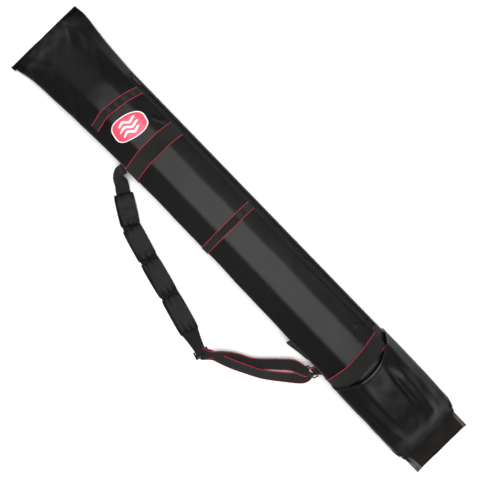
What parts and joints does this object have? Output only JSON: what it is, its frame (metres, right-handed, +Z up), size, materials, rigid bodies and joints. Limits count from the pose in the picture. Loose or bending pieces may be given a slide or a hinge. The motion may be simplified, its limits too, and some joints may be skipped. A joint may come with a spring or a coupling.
{
  "type": "fishing rod case",
  "caption": "Long soft padded fishing rod case with a side zip, webbing bands, a butt pocket and a padded shoulder strap.",
  "frame": {"origin": "on the ground under the case, halfway along its length", "axes": "+X along the case towards the butt pocket, +Y towards the zip side, +Z up out of the front panel"},
  "size_m": [1.806, 0.5032, 0.1202],
  "materials": {
    "shell_fabric": "woven nylon, slight sheen",
    "pocket_fabric": "thinner coated nylon",
    "panel_fabric": "coated flat panel",
    "gusset_fabric": "shiny coated fabric",
    "lining_fabric": "plain lining",
    "foam": "closed-cell foam",
    "webbing": "ribbed webbing",
    "red_trim": "red woven edging",
    "badge_red": "moulded patch",
    "badge_border": "moulded patch",
    "strap_pad": "quilted nylon",
    "zip_tape": "woven tape",
    "zip_teeth": "nylon coil",
    "zip_metal": "black lacquer",
    "ring_metal": "black gloss lacquer",
    "buckle_plastic": "moulded acetal"
  },
  "bodies": {
    "case": {"front_shell": "shell_fabric", "back_shell": "shell_fabric", "front_foam": "foam", "back_foam": "foam", "front_lining": "lining_fabric", "back_lining": "lining_fabric", "tip_pad": "foam", "butt_pad": "foam", "tip_binding": "shell_fabric", "base_panel": "panel_fabric", "base_binding": "panel_fabric", "base_gusset_left": "gusset_fabric", "base_gusset_right": "gusset_fabric", "zip_tape_front": "zip_tape", "zip_tape_back": "zip_tape", "zip_teeth_front": "zip_teeth", "zip_teeth_back": "zip_teeth", "zip_top_stop": "zip_metal", "zip_bottom_stop": "zip_metal", "narrow_band_upper": "webbing", "narrow_band_upper_piping": "red_trim", "wide_band_upper": "webbing", "wide_band_upper_piping": "red_trim", "narrow_band_middle": "webbing", "narrow_band_middle_piping": "red_trim", "wide_band_lower": "webbing", "wide_band_lower_piping": "red_trim", "badge_rim": "badge_border", "badge_patch": "badge_red", "pocket_panel": "pocket_fabric", "pocket_hem": "pocket_fabric", "rod_tie_upper": "webbing", "rod_tie_lower": "webbing", "strap_anchor": "webbing", "ring_tab": "webbing", "side_loop": "webbing"},
    "slider": {"zip_slider": "zip_metal"},
    "pull": {"zip_pull": "zip_metal"},
    "strap": {"strap_web_upper": "webbing", "pad_backing": "webbing", "shoulder_pad_1": "strap_pad", "shoulder_pad_2": "strap_pad", "shoulder_pad_3": "strap_pad", "shoulder_pad_4": "strap_pad", "strap_web_lower": "webbing", "tri_glide": "buckle_plastic", "strap_web_outer": "webbing", "strap_web_inner": "webbing", "strap_ring": "ring_metal"}
  },
  "joints": [
    {"name": "zip_slide", "type": "slide", "parent": "case", "child": "slider", "axis": [1, 0, 0], "range_m": [0, 1.018]},
    {"name": "pull_hinge", "type": "hinge", "parent": "slider", "child": "pull", "pos_m": [-0.585, 0.10732, 0.08242], "axis": [0, 0.7107, -0.7035], "range_deg": [-180, 0]},
    {"name": "strap_swing", "type": "hinge", "parent": "case", "child": "strap", "pos_m": [0, -0.118, 0.044], "axis": [-1, 0, 0], "range_deg": [0, 125]}
  ]
}
